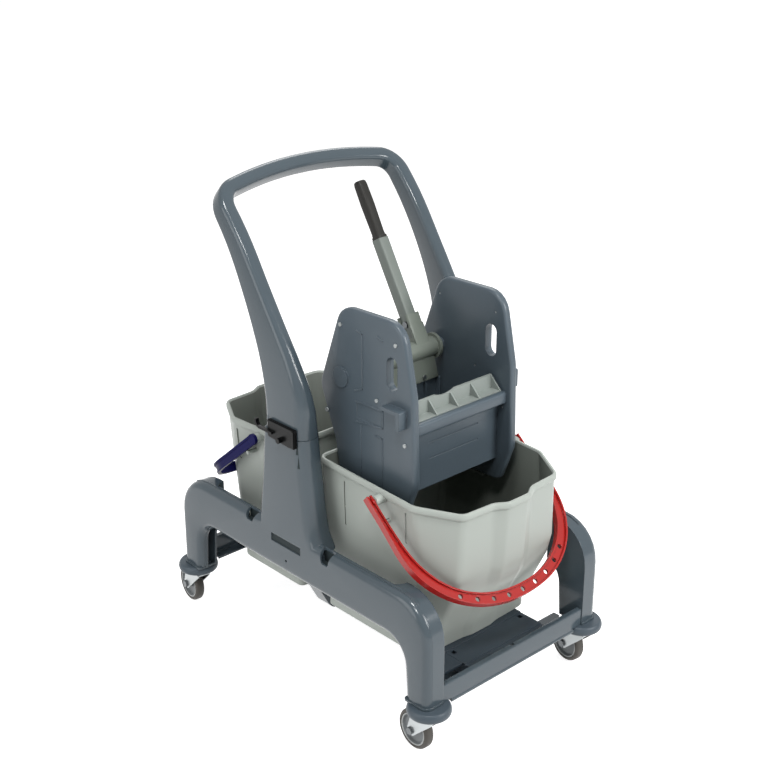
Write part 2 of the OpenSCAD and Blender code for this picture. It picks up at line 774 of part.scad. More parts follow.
module caster_stems() {
    color(zinc_colour) for (c = corners) translate([c.x, c.y, 0]) {
        translate([0, 0, fork_z - head_h]) cylinder(d = stem_d, h = leg_z + stem_h - 1 - fork_z + head_h);
        translate([0, 0, fork_z + fork_t + 0.2]) cylinder(d = race_d, h = race_h - 0.2);
        translate([0, 0, fork_z - head_h]) cylinder(d = stem_d + 8, h = head_h - 0.3);
    }
}

// Puts a caster's pieces, drawn trailing to -X from the swivel axis, at corner i
module at_corner(i) {
    translate([corners[i].x, corners[i].y, 0]) rotate(yaws[i]) children();
}

fork_gap = 1.5;
fork_y = wheel_w / 2 + fork_gap;
fork_eye = 10;

module fork(i) {
    side = [[-trail + 4, wheel_d / 2 - fork_eye], [race_d / 2 + 4, fork_z - 2],
        [race_d / 2 + 4, fork_z + fork_t], [-race_d / 2 - 12, fork_z + fork_t],
            [-trail - 9, wheel_d / 2 + 2]];
    color(zinc_colour) at_corner(i) difference() {
        union() {
            for (y = [-fork_y - fork_t, fork_y]) across(y, y + fork_t)
                polygon(rounded(side, [5, 3, 1, 3, 5], 6));
            translate([0, 0, fork_z]) linear_extrude(fork_t)
                polygon(rounded(rect(-race_d / 2 - 11, -fork_y - fork_t, race_d / 2 + 4, fork_y + fork_t),
                    [3, 3, 3, 3]));
            translate([0, 0, fork_z]) cylinder(d = race_d + 6, h = fork_t);
        }
        translate([0, 0, fork_z - 1]) cylinder(d = stem_d + 2 * run_gap, h = fork_t + 2);
        pin(-trail, wheel_d / 2, axle_d / 2 + run_gap, -fork_y - fork_t - 1, fork_y + fork_t + 1);
    }
}

nut_h = 5;

module axle(i) {
    y = fork_y + fork_t;
    color(zinc_colour) at_corner(i) {
        pin(-trail, wheel_d / 2, axle_d / 2, -y - 1, y + 1);
        for (s = [-1, 1]) translate([-trail, s * (y + (nut_h - 1) / 2), wheel_d / 2]) rotate([90, 0, 0])
            cylinder(d = axle_d * 1.8, h = nut_h - 1, center = true, $fn = 6);
    }
}

hub_rim = 3;

module wheel_hub(i) {
    r = wheel_d / 2 - tyre_t;
    w = wheel_w / 2 - 2;
    profile = [[axle_d / 2 + run_gap, -wheel_w / 2 - 1], [9, -wheel_w / 2 - 1], [9, -3],
        [r - hub_rim - 2, -3], [r - hub_rim, -w],
        [r, -w], [r, w], [r - hub_rim, w], [r - hub_rim - 2, 3], [9, 3], [9, wheel_w / 2 + 1],
        [axle_d / 2 + run_gap, wheel_w / 2 + 1]];
    color("#8b8f90") at_corner(i) translate([-trail, 0, wheel_d / 2]) rotate([90, 0, 0])
        rotate_extrude() polygon(profile);
}

module tyre(i) {
    r = wheel_d / 2;
    w = wheel_w / 2;
    color("#55524e") at_corner(i) translate([-trail, 0, wheel_d / 2]) rotate([90, 0, 0])
        rotate_extrude() polygon(rounded(rect(r - tyre_t, -w, r, w), [1, 6, 6, 1], 8));
}

module fork_front_near() fork(0);
module fork_front_far() fork(1);
module fork_rear_near() fork(2);
module fork_rear_far() fork(3);
module axle_front_near() axle(0);
module axle_front_far() axle(1);
module axle_rear_near() axle(2);
module axle_rear_far() axle(3);
module hub_front_near() wheel_hub(0);
module hub_front_far() wheel_hub(1);
module hub_rear_near() wheel_hub(2);
module hub_rear_far() wheel_hub(3);
module tyre_front_near() tyre(0);
module tyre_front_far() tyre(1);
module tyre_rear_near() tyre(2);
module tyre_rear_far() tyre(3);

// Buckets, drawn from their inner end at x = 0 outwards along +X

bulge = 14;
end_y = 116;
chamfer_l = 95;
foot_chamfer_l = 52;
knee_z = deck_z + 154;

// Height above the plinth in share of the whole height
function bucket_rise(z) = max(z - deck_z - plinth_h, 0) / (rim_h - plinth_h);

// Corners of a bucket's plan at the height t, from its foot at 0 to its rim at 1
function bucket_pts(l, t) =
    let (c = foot_chamfer_l + (chamfer_l - foot_chamfer_l) * t, e = end_y + 10 * (1 - t),
        b = bulge * (0.4 + 0.6 * t))
    [
        [0, -bucket_y], [l - c, -bucket_y], [l - b - 4, -e], [l - b, -48], [l, -26],
        [l, 26], [l - b, 48], [l - b - 4, e], [l - c, bucket_y], [0, bucket_y]
    ];
bucket_rs = [20, 40, 24, 28, 22, 22, 28, 24, 40, 20];

// Share of the rim's size at height z, for a wall that has the share k at its knee
function bucket_share(z, k) =
    let (a = bucket_rise(knee_z), t = bucket_rise(z), foot = [foot_x_scale, foot_y_scale])
    t < a ? foot + ([k, k] - foot) * t / a : [k, k] + [1 - k, 1 - k] * (t - a) / (1 - a);

// One ring of a bucket of length l and knee k, moved inwards by d, at height z or that far above the
// sloping rim
function bucket_ring(l, k, d, z, on_rim = false) =
    let (s = on_rim ? [1, 1] : bucket_share(z, k))
    [for (p = rounded_inset(bucket_pts(l, on_rim ? 1 : bucket_rise(z)), bucket_rs, d, 5))
        let (top = rim_z + rim_rise * (1 - p.x / l))
        [(p.x - d) * s.x + d, p.y * s.y, on_rim ? top + z : z]];

ear_r = 9;
ear_bore = 11;

// Outer end of the ears under a bail of half width half
function ear_y(half) = half - bail_t / 2 - fit_gap;

floor_t = 4;
pivot_z = rim_z - pivot_drop;
nib_r = 4;
nib_along = 36;
ledge_t = 5;

groove_d = 1.8;

// Upright groove in the near wall, from x over the width w and from z0 up to z1
module groove(k, x, w, z0, z1) {
    face = function (z) groove_d - (bucket_y - lip_w) * bucket_share(z, k).y;
    translate([x, 0, 0]) rotate([90, 0, 90]) linear_extrude(w)
        polygon([[-bucket_y, z0], [face(z0), z0], [face(z1), z1], [-bucket_y, z1]]);
}

// Bucket of length l and knee k with ears at pivot_x from its inner end for a bail of half width half and
// strip width w, nibs that stop the bail at angle a, and grooves
module bucket(l, k, pivot_x, half, w, a, grooves) {
    in = lip_w + bucket_wall;
    difference() {
        union() {
            loft([
                bucket_ring(l, k, lip_w + 3, deck_z), bucket_ring(l, k, lip_w, deck_z + 3),
                bucket_ring(l, k, lip_w, deck_z + plinth_h), bucket_ring(l, k, lip_w, knee_z - 20),
                bucket_ring(l, k, lip_w, knee_z + 20), bucket_ring(l, k, lip_w, -lip_h - 3, true),
                bucket_ring(l, k, 0.6, -lip_h, true), bucket_ring(l, k, 0, -lip_h + 2, true),
                bucket_ring(l, k, 0, -3, true), bucket_ring(l, k, 2, 0, true),
                bucket_ring(l, k, in - 2, 0, true), bucket_ring(l, k, in, -3, true),
                bucket_ring(l, k, in, knee_z + 20), bucket_ring(l, k, in, knee_z - 20),
                bucket_ring(l, k, in, deck_z + plinth_h), bucket_ring(l, k, in, deck_z + floor_t)
            ]);
            for (s = [0, 1]) mirror([0, s, 0]) {
                pin(pivot_x, pivot_z, ear_r, -ear_y(half), -bucket_y + lip_w + bucket_wall - 1);
                n = [pivot_x, pivot_z] + nib_along * [cos(a), -sin(a)]
                    - (w / 2 + nib_r + fit_gap) * [sin(a), cos(a)];
                pin(n.x, n.y, nib_r, -half, -bucket_y + 8);
            }
        }
        for (s = [0, 1]) mirror([0, s, 0]) {
            pin(pivot_x, pivot_z, bail_pin_d / 2 + run_gap, -ear_y(half) - 1, -ear_y(half) + ear_bore);
            for (g = grooves) groove(k, g[0], g[1], g[2], g[3]);
        }
    }
}

front_knee = 0.98;
rear_knee = 0.93;

module front_bucket() {
    l = front_bucket_l;
    color(bucket_colour) translate([front_in, 0, 0]) {
        bucket(l, front_knee, front_pivot_x - front_in, front_bail_y, front_bail_w, front_bail_angle,
            [[68, 4, knee_z + 40, rim_z - lip_h - 4], [222, 5, knee_z + 66, rim_z - lip_h - 6]]);
        // ledges that carry the wringer's feet
        for (s = [0, 1]) mirror([0, s, 0]) intersection() {
            translate([50, -bucket_y, wringer_z - ledge_t]) cube([96, bucket_y - inner_y - 1, ledge_t]);
            loft([bucket_ring(l, front_knee, lip_w + 1, knee_z + 20),
                bucket_ring(l, front_knee, lip_w + 1, rim_z)]);
        }
    }
}

module rear_bucket() {
    color(bucket_colour) rear() translate([rear_in, 0, 0])
        bucket(rear_bucket_l, rear_knee, rear_pivot_x - rear_in, rear_bail_y, rear_bail_w, rear_bail_angle,
            [[167, 6, knee_z + 60, rim_z - lip_h - 6]]);
}

// Bails, drawn level from their pivots along +X

bail_web = 3.5;
bail_edge = 4;
bail_hole_d = 9;
bail_holes = 9;
hole_pitch = 32;

// Section of a bail's strip of width w at the radius r: a web between two thicker edges
function bail_section(r, w) =
    let (h = w / 2, e = w / 2 - bail_edge, t = bail_t / 2, k = bail_web / 2)
    [for (p = [[-t, -h], [t, -h], [t, -e], [k, -e], [k, e], [t, e], [t, h], [-t, h], [-t, e], [-k, e],
        [-k, -e], [-t, -e]])
        [r + p.x, p.y]];

// Bail of half width half and strip width w with straight arms, two bends and a straight length between them
module bail(pivot_x, half, w, arm, bend, a, holes) {
    reach = half - bend;
    translate([pivot_x, 0, pivot_z]) {
        rotate([0, a, 0]) difference() {
            union() {
                for (s = [0, 1]) mirror([0, s, 0]) rotate([90, 0, 90]) linear_extrude(arm)
                    polygon(bail_section(half, w));
                translate([arm, -reach, 0]) rotate(-90) rotate_extrude(angle = 90)
                    polygon(bail_section(bend, w));
                translate([arm, reach, 0]) rotate_extrude(angle = 90) polygon(bail_section(bend, w));
                translate([arm, reach, 0]) rotate([90, 0, 0]) linear_extrude(2 * reach)
                    polygon(bail_section(bend, w));
            }
            // row of holes round the bow
            if (holes > 0) for (k = [-(holes - 1) / 2:(holes - 1) / 2]) {
                y = k * hole_pitch;
                b = max(abs(y) - reach, 0) * 180 / PI / bend * sign(y);
                translate([arm, (abs(y) > reach ? reach * sign(y) : y), 0]) rotate(b)
                    translate([bend - bail_t, 0, 0])
                    rotate([0, 90, 0]) cylinder(d = bail_hole_d, h = 2 * bail_t);
            }
        }
        for (s = [0, 1]) mirror([0, s, 0]) {
            pin(0, 0, w / 2 + 1, -half - bail_t / 2 + 0.5, -half + bail_t / 2 - 0.5);
            pin(0, 0, bail_pin_d / 2, -half, -ear_y(half) + ear_bore - 1);
        }
    }
}

module front_bail() {
    color("#d5332f") bail(front_pivot_x, front_bail_y, front_bail_w, front_arm, front_bend,
        front_bail_angle, bail_holes);
}

module rear_bail() {
    color("#3a3a66") rear() bail(rear_pivot_x, rear_bail_y, rear_bail_w, rear_arm, rear_bend,
        rear_bail_angle, 0);
}

// Wringer

wringer_z = deck_z + floor_t + wringer_lift_z;
shaft_z = wringer_z + shaft_h;
panel_top = wringer_z + panel_h;
inner_y = wringer_y - panel_t;
panel_front = shaft_x + 183;
panel_pts = [
    [shaft_x - 2, wringer_z], [panel_front - 28, wringer_z], [panel_front, wringer_z + 75],
    [panel_front - 5, wringer_z + 230], [panel_front - 32, panel_top], [shaft_x - 1, panel_top - 5],
    [shaft_x - 58, wringer_z + 195], [shaft_x - 20, wringer_z + 100]
];
panel_rs = [10, 14, 60, 120, 42, 40, 36, 40];
slot_pos = [shaft_x + 128, shaft_z + 42];
grip_slot_h = 60;
grip_slot_w = 26;
boss_d = 38;
boss_h = 3;
panel_screw_at = [
    [shaft_x, panel_top - 39], [shaft_x + 137, panel_top - 39], [shaft_x + 91, shaft_z - 16],
    [shaft_x + 160, shaft_z - 76], [shaft_x - 38, shaft_z - 73]
];
panel_seam = wringer_y - panel_t / 2;

module grip_slot(d = 0) {
    r = grip_slot_w / 2 + d;
    for (s = [-1, 1]) translate(slot_pos + [0, s * (grip_slot_h - grip_slot_w) / 2]) circle(r);
    translate(slot_pos - [r, (grip_slot_h - grip_slot_w) / 2]) square([2 * r, grip_slot_h - grip_slot_w]);
}

panel_edge_r = 5;

// One ring of the near panel, moved inwards by d, at y
function panel_ring(d, y) = [for (p = rounded_inset(panel_pts, panel_rs, d, 5)) [p.x, y, p.y]];

// Shell of the near panel between y0, its face, and the seam at y1
module panel_shell(y0, y1, face_in) {
    a = min(y0, y1);
    b = max(y0, y1);
    c = face_in ? a : a + panel_wall;
    e = face_in ? b - panel_wall : b;
    difference() {
        union() {
            difference() {
                loft(face_in
                    ? concat([for (t = [0:30:90])
                        panel_ring(panel_edge_r * (1 - sin(t)), b - panel_edge_r * (1 - cos(t)))],
                        [panel_ring(0, a)])
                    : concat([panel_ring(0, b)],
                        [for (t = [90:-30:0])
                            panel_ring(panel_edge_r * (1 - sin(t)), a + panel_edge_r * (1 - cos(t)))]));
                across(face_in ? c - 1 : c, face_in ? e : e + 1)
                    polygon(rounded_inset(panel_pts, panel_rs, panel_edge_r, 5));
            }
            across(a, b) grip_slot(panel_wall);
            pin(shaft_x, shaft_z, shaft_d / 2 + 8, a, b);
            for (p = panel_screw_at) pin(p.x, p.y, screw_d / 2 + 3, a, b);
            // ribs across the hollow
            across(a + 1, b - 1) intersection() {
                polygon(rounded_inset(panel_pts, panel_rs, panel_edge_r, 5));
                union() {
                    for (k = [1:4]) translate([shaft_x - 60 + k * 50, wringer_z])
                        square([panel_wall, panel_h]);
                    for (k = [1:4]) translate([shaft_x - 80, wringer_z + k * 70 - 10])
                        square([320, panel_wall]);
                }
            }
        }
        across(a - 1, b + 1) grip_slot();
        pin(shaft_x, shaft_z, shaft_d / 2 + run_gap, a - 1, b + 1);
        for (p = panel_screw_at) pin(p.x, p.y, screw_d / 2 + run_gap, a - 1, b + 1);
    }
}

hook_x = shaft_x + 118;
hook_z = shaft_z - 45;
hook_l = 46;
hook_h = 34;
hook_out = 18;
emboss = 1;

module panel_outer() {
    color(frame_colour) difference() {
        union() {
            panel_shell(-wringer_y, -panel_seam, false);
            // round boss over the shaft's end
            difference() {
                pin(shaft_x, shaft_z, boss_d / 2, -wringer_y - boss_h, -wringer_y + 1);
                pin(shaft_x, shaft_z, shaft_d / 2 + run_gap, -wringer_y, -wringer_y + 2);
            }
            // hook for tools, open to the rear
            across(-wringer_y - hook_out, -wringer_y + 1)
                polygon(rounded(rect(hook_x, hook_z + hook_h - 7, hook_x + hook_l, hook_z + hook_h),
                    [1, 1, 3, 3], 3));
            across(-wringer_y - hook_out, -wringer_y + 1)
                polygon(rounded(rect(hook_x + hook_l - 9, hook_z, hook_x + hook_l, hook_z + hook_h),
                    [3, 3, 3, 1], 3));
        }
        // drawn-in fields of the outer face
        across(-wringer_y - 0.1, -wringer_y + emboss)
            polygon(rounded(rect(shaft_x + 49, wringer_z + 20, shaft_x + 52, shaft_z - 78), [1, 1, 1, 1], 2));
        across(-wringer_y - 0.1, -wringer_y + emboss)
            polygon(rounded(rect(shaft_x + 103, wringer_z + 20, shaft_x + 106, shaft_z - 84), [1, 1, 1, 1],
                2));
        across(-wringer_y - 0.1, -wringer_y + emboss)
            polygon(rounded([[shaft_x + 40, shaft_z - 34], [shaft_x + 104, shaft_z - 34],
                [shaft_x + 104, shaft_z - 62],
                [shaft_x + 40, shaft_z - 62]], [1, 1, 1, 1], 2));
    }
}

module panel_inner() {
    color(frame_colour) {
        panel_shell(-inner_y, -panel_seam, true);
        // collar that meets the lever hub
        difference() {
            pin(shaft_x, shaft_z, shaft_d / 2 + 8, -inner_y - 1, -hub_y - fit_gap);
            pin(shaft_x, shaft_z, shaft_d / 2 + run_gap, -inner_y - 2, -hub_y);
        }
    }
}

module panel_near_outer() {
    panel_outer();
}

module panel_near_inner() {
    panel_inner();
}

module panel_far_inner() {
    far() panel_inner();
}

module panel_far_outer() {
    far() panel_outer();
}

module panel_screws() {
    color("#e3e5e4") for (s = [0, 1], p = panel_screw_at) mirror([0, s, 0]) {
        pin(p.x, p.y, screw_d / 2, -wringer_y - 0.5, -inner_y - 1);
        pin(p.x, p.y, screw_d / 2 + 1.5, -wringer_y - 2, -wringer_y);
    }
}

cross_x = shaft_x + 145;
cross_z = wringer_z + 156;
sheet_t = 4;

module wringer_front() {
    color(frame_colour) {
        difference() {
            across(-inner_y, inner_y)
                polygon(rounded(rect(cross_x, cross_z, cross_x + cross_d, cross_z + cross_h), [2, 4, 5, 2],
                    4));
            across(-inner_y + wall, inner_y - wall)
                polygon(rect(cross_x + wall, cross_z - 1, cross_x + cross_d - wall,
                    cross_z + cross_h - wall));
        }
        difference() {
            across(-inner_y, inner_y) polygon(rect(cross_x, cross_z - front_h, cross_x + sheet_t,
                cross_z + 1));
            for (z = [cross_z - 30, cross_z - 60]) translate([cross_x + sheet_t - 1, -60, z])
                cube([2, 120, 2]);
        }
    }
}

rear_wall_x = shaft_x - 9;
rear_wall_h = 60;
grid_z = cross_z - front_h;
grid_t = 5;

module wringer_rear() {
    color(frame_colour) difference() {
        across(-inner_y, inner_y) polygon(rect(rear_wall_x, grid_z, rear_wall_x + sheet_t,
            grid_z + rear_wall_h));
        for (k = [-4:4]) translate([rear_wall_x - 1, k * 20 - 4, grid_z + 14])
            cube([sheet_t + 2, 8, rear_wall_h - 28]);
    }
}

module drain_grid() {
    x0 = rear_wall_x + sheet_t;
    color(jaw_colour) difference() {
        translate([x0, -inner_y, grid_z]) cube([cross_x - x0, 2 * inner_y, grid_t]);
        for (k = [-6:6]) translate([x0 + 12, k * 15 - 4, grid_z - 1])
            cube([cross_x - x0 - 24, 8, grid_t + 2]);
    }
}

jaw_y = inner_y - 5;
jaw_top = [cross_x - 12, cross_z + cross_h];
jaw_rise = 26;
jaw_seat = cross_z + cross_h + fit_gap;
jaw_foot = [cross_x - jaw_t, grid_z + grid_t];
gusset_l = 16;
dip_r = 60;
dip = 5;

module fixed_jaw() {
    side = [jaw_top + [0, jaw_rise], jaw_foot, jaw_foot + [jaw_t, 0], [jaw_foot.x + jaw_t, cross_z],
        jaw_top + [jaw_t, jaw_rise]];
    color(jaw_colour) difference() {
        union() {
            across(-jaw_y, jaw_y) polygon(side);
            // flange that lies on the cross bar, and the gussets on it
            across(-jaw_y, jaw_y)
                polygon(rect(cross_x - 10, jaw_seat, cross_x + gusset_l - 1, jaw_seat + 2));
            for (k = [0:gussets - 1]) {
                y = -jaw_y + 2 + k * (2 * jaw_y - 4) / (gussets - 1);
                across(y - 1.5, y + 1.5)
                    polygon([jaw_top + [jaw_t - 1, jaw_rise], [cross_x - 10, jaw_seat + 1],
                        [cross_x + gusset_l, jaw_seat], [cross_x + gusset_l, jaw_seat + 2]]);
            }
            // press ribs on the mop's side
            for (k = [-4:4]) across(k * 22 - 2, k * 22 + 2)
                polygon([jaw_top + [1, -16], jaw_foot + [1, 4], jaw_foot + [-3, 8], jaw_top + [-3, -20]]);
        }
        // dip in the middle of the top edge
        translate([jaw_top.x - 20, -10, jaw_top.y + jaw_rise - dip + dip_r]) rotate([0, 90, 0])
            cylinder(r = dip_r, h = 60);
        // drain holes
        for (k = [-4:3], z = [26, 52, 78]) translate([jaw_top.x - 20, k * 22 + 11, jaw_foot.y + z])
            rotate([0, 90, 0]) cylinder(d = 8, h = 60);
    }
}

module wringer_shaft() {
    color(zinc_colour) pin(shaft_x, shaft_z, shaft_d / 2, -wringer_y + 0.5, wringer_y - 0.5);
}

// Lever, drawn upright from the shaft at the origin

socket_h = 66;
socket_w = tube_w + 9;
hub_y = inner_y - 12;
crank_y = 82;
crank_flare = 18;
crank_l = 60;
crank_t = 11;
jaw_screw_z = -50;
jaw_screw_y = 62;
jaw_head = -42;

module at_shaft() {
    translate([shaft_x, 0, shaft_z]) children();
}

module at_lever() {
    at_shaft() rotate([0, -lever_lean, 0]) translate([0, lever_y, 0]) children();
}

module square_tube(w, r, h) {
    linear_extrude(h) polygon(rounded(rect(-w / 2, -w / 2, w / 2, w / 2), [r, r, r, r], 5));
}

module lever_hub() {
    color(jaw_colour) difference() {
        union() {
            at_shaft() {
                pin(0, 0, hub_d / 2, -hub_y, hub_y);
                for (y = [-hub_y, hub_y - 6]) pin(0, 0, hub_flange_d / 2, y, y + 6);
                // crank block that widens towards its foot
                intersection() {
                    across(-crank_y - crank_flare, crank_y + crank_flare)
                        polygon(rounded([[-14, 0], [-crank_t, -crank_l], [crank_t, -crank_l],
                            [crank_t + 1, 0]], [1, 2, 2, 1], 3));
                    translate([-30, 0, 0]) rotate([90, 0, 90]) linear_extrude(60) polygon([[-crank_y, 1],
                        [-crank_y - crank_flare, -crank_l], [crank_y + crank_flare, -crank_l], [crank_y, 1]]);
                }
            }
            at_lever() {
                square_tube(socket_w, 5, socket_h);
                across(-socket_w / 2, socket_w / 2)
                    polygon([[-hub_d / 2 + 2, 0], [hub_d / 2 - 2, 0], [socket_w / 2 - 1, socket_h - 20],
                        [-socket_w / 2 + 1, socket_h - 20]]);
            }
        }
        at_shaft() pin(0, 0, shaft_d / 2 + run_gap, -hub_y - 1, hub_y + 1);
        at_lever() translate([0, 0, tube_z]) square_tube(tube_w + fit_gap, 3, socket_h);
        // the socket is open on the near side
        at_lever() translate([-tube_w / 2 + 1, -socket_w, tube_z]) cube([tube_w - 2, socket_w, socket_h]);
        at_lever() pin(0, bolt_z, screw_d / 2 + 1 + run_gap, -socket_w, socket_w);
        // slot and screws of the moving jaw
        at_shaft() translate([-jaw_t / 2 - fit_gap, -crank_y - 1, -crank_l - 1])
            cube([jaw_t + 2 * fit_gap, 2 * crank_y + 2, crank_l + jaw_head + 1 + fit_gap]);
        at_shaft() for (y = [-jaw_screw_y, jaw_screw_y]) translate([-30, y, jaw_screw_z]) rotate([0, 90, 0])
            cylinder(d = screw_d + 2 * run_gap, h = 60);
    }
}

tube_z = hub_d / 2 + 6;
bolt_z = socket_h - 16;

module lever_tube() {
    h = lever_l - grip_l - tube_z;
    color("#b4b9b5") at_lever() difference() {
        translate([0, 0, tube_z]) square_tube(tube_w, 3, h);
        translate([0, 0, tube_z - 1]) square_tube(tube_w - 2 * tube_wall, 2, h + 2);
        pin(0, bolt_z, screw_d / 2 + 1 + run_gap, -socket_w, socket_w);
    }
}

module lever_bolt() {
    color(zinc_colour) at_lever() {
        pin(0, bolt_z, screw_d / 2 + 1, -tube_w / 2 - 0.5, socket_w / 2 + 3);
        pin(0, bolt_z, screw_d / 2 + 4, -tube_w / 2 - 3, -tube_w / 2);
        translate([0, socket_w / 2 + 2, bolt_z]) rotate([90, 0, 0])
            cylinder(d = 10, h = 4, center = true, $fn = 6);
    }
}

grip_plug = 24;

module lever_grip() {
    z = lever_l - grip_l;
    w = grip_w;
    color("#3a3836") at_lever() {
        translate([0, 0, z - grip_plug]) square_tube(tube_w - 2 * tube_wall - fit_gap, 2, grip_plug + 1);
        translate([0, 0, z]) square_tube(tube_w - 1, 4, 5);
        loft([for (row = [[4, w], [12, w - 1], [grip_l * 0.6, w + 0.5], [grip_l - 8, w - 0.5],
            [grip_l - 2, w - 2], [grip_l, w - 5]])
            [for (p = rounded(rect(-row[1] / 2, -row[1] / 2, row[1] / 2, row[1] / 2), [6, 6, 6, 6], 5))
                [p.x, p.y, z + row[0]]]]);
    }
}

module moving_jaw() {
    color(frame_colour) at_shaft() difference() {
        union() {
            across(-crank_y, crank_y) polygon(rect(-jaw_t / 2, -crank_l - 1, jaw_t / 2, jaw_head));
            across(-jaw_y, jaw_y)
                polygon(rounded(rect(-jaw_t / 2, -jaw_l, jaw_t / 2, -crank_l - fit_gap), [2, 2, 1, 1], 3));
            // turned edges at both ends
            for (s = [0, 1]) mirror([0, s, 0]) across(-jaw_y, -jaw_y + 4)
                polygon(rounded(rect(-jaw_t / 2 - 1, -jaw_l, jaw_t / 2 + 8, -crank_l - fit_gap),
                    [1, 4, 2, 1], 3));
            // press ribs on the mop's side
            for (k = [-3:3]) across(k * 24 - 2, k * 24 + 2)
                polygon(rounded(rect(jaw_t / 2 - 1, -jaw_l + 6, jaw_t / 2 + 5, -crank_l - 6), [1, 2, 2, 1],
                    3));
        }
        for (y = [-jaw_screw_y, jaw_screw_y]) translate([-jaw_t, y, jaw_screw_z]) rotate([0, 90, 0])
            cylinder(d = screw_d + 2 * run_gap, h = 2 * jaw_t);
    }
}

module jaw_screws() {
    color(zinc_colour) at_shaft() for (y = [-jaw_screw_y, jaw_screw_y]) translate([0, y, jaw_screw_z])
        rotate([0, 90, 0]) {
            translate([0, 0, -crank_t + 1]) cylinder(d = screw_d, h = 2 * crank_t);
            translate([0, 0, crank_t + 0.4]) cylinder(d = 8, h = 3);
        }
}

side_frame_near();
side_frame_far();
front_bar();
rear_bar();
base_plate();
centre_yoke();
push_handle();
handle_screws();
tool_clip_near();
tool_clip_far();
bumpers();
caster_stems();
fork_front_near();
fork_front_far();
fork_rear_near();
fork_rear_far();
axle_front_near();
axle_front_far();
axle_rear_near();
axle_rear_far();
hub_front_near();
hub_front_far();
hub_rear_near();
hub_rear_far();
tyre_front_near();
tyre_front_far();
tyre_rear_near();
tyre_rear_far();
front_bucket();
rear_bucket();
front_bail();
rear_bail();
panel_near_outer();
panel_near_inner();
panel_far_inner();
panel_far_outer();
panel_screws();
wringer_front();
wringer_rear();
drain_grid();
fixed_jaw();
wringer_shaft();
lever_hub();
lever_tube();
lever_bolt();
lever_grip();
moving_jaw();
jaw_screws();
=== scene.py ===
import json
import math

import bmesh
import bpy
import numpy as np
from mathutils import Matrix, Vector


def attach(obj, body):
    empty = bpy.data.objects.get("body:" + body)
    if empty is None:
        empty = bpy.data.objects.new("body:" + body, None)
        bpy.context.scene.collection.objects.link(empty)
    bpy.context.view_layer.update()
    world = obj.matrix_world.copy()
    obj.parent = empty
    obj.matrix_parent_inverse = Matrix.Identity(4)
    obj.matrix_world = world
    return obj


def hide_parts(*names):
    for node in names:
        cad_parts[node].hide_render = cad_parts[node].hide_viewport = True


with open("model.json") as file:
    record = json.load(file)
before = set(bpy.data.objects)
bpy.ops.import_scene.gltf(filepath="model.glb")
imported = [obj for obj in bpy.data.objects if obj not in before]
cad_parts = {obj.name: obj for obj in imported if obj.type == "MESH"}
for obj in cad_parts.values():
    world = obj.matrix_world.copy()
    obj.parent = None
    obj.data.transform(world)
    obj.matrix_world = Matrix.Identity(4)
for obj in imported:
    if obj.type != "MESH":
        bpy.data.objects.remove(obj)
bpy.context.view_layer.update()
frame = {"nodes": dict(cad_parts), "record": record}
scene = bpy.context.scene
behaviour = frame["record"]["behaviour"]
nodeBody = {node: body for body, nodes in behaviour["bodies"].items() for node in nodes}
corners = ["front_near", "front_far", "rear_near", "rear_far"]
sideFrames = {"side_frame_near": -1, "side_frame_far": 1}  # with the side of y that each stands on
white = (1, 1, 1, 1)
print("trolley loaded:", len(nodeBody), "nodes")


# A shader socket that can stand in a sum
class Wire:
    def __init__(self, tree, socket=None):
        self.tree = tree
        self.socket = socket

    # a new node: its type, its settings, then its sockets by name, or as _0, _1 by number
    def node(self, kind, settings=None, output=0, **sockets):
        node = self.tree.nodes.new(kind)
        for name, value in (settings or {}).items():
            setattr(node, name, value)
        for name, value in sockets.items():
            key = int(name[1:]) if name[1:].isdigit() else name.replace("_", " ")
            plug(self.tree, node.inputs[key], value)
        return Wire(self.tree, node.outputs[output])

    def maths(self, operation, first, second):
        return self.node("ShaderNodeMath", {"operation": operation}, _0=first, _1=second)

    def __add__(self, other):
        return self.maths("ADD", self, other)

    def __radd__(self, other):
        return self.maths("ADD", other, self)

    def __sub__(self, other):
        return self.maths("SUBTRACT", self, other)

    def __rsub__(self, other):
        return self.maths("SUBTRACT", other, self)

    def __mul__(self, other):
        return self.maths("MULTIPLY", self, other)

    def __rmul__(self, other):
        return self.maths("MULTIPLY", other, self)


def plug(tree, place, value):
    if isinstance(value, Wire):
        tree.links.new(value.socket, place)
    else:
        place.default_value = value


# A colour code as the linear values that shaders take
def linear(code):
    parts = [int(code[k:k + 2], 16) / 255 for k in (1, 3, 5)]
    return [p / 12.92 if p <= 0.04045 else ((p + 0.055) / 1.055) ** 2.4 for p in parts] + [1]


